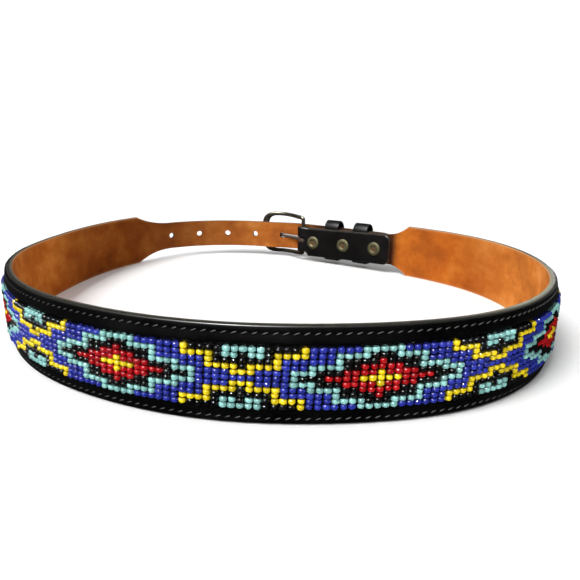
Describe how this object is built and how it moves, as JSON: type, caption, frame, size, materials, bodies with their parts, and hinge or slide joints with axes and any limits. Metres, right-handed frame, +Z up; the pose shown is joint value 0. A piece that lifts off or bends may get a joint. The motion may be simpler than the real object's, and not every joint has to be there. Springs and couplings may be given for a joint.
{
  "type": "beaded belt",
  "caption": "Black leather belt with a tan lining and a woven seed bead band in a stepped diamond pattern, buckled into a loop and standing on its edge.",
  "frame": {"origin": "middle of the belt's bounding box, on the surface that its lower edge stands on", "axes": "+Z up across the belt's width, -Y towards the beaded front, +Y towards the buckle at the back"},
  "size_m": [0.3006, 0.3098, 0.039],
  "materials": {
    "tan_leather": "brushed, slightly mottled tan leather",
    "black_leather": "smooth black leather with a satin gloss",
    "glass_beads": "opaque glossy glass seed beads in five colours",
    "buckle_metal": "polished grey metal",
    "snap_brass": "aged brass"
  },
  "bodies": {
    "root": {"lining": "tan_leather", "outer_strap": "black_leather", "bead_frame": "black_leather", "bead_band": "glass_beads", "buckle_frame": "buckle_metal", "prong": "buckle_metal", "keeper_1": "black_leather", "keeper_2": "black_leather", "snap_cap_1": "snap_brass", "snap_post_1": "snap_brass", "snap_cap_2": "snap_brass", "snap_post_2": "snap_brass", "snap_cap_3": "snap_brass", "snap_post_3": "snap_brass"}
  },
  "joints": []
}
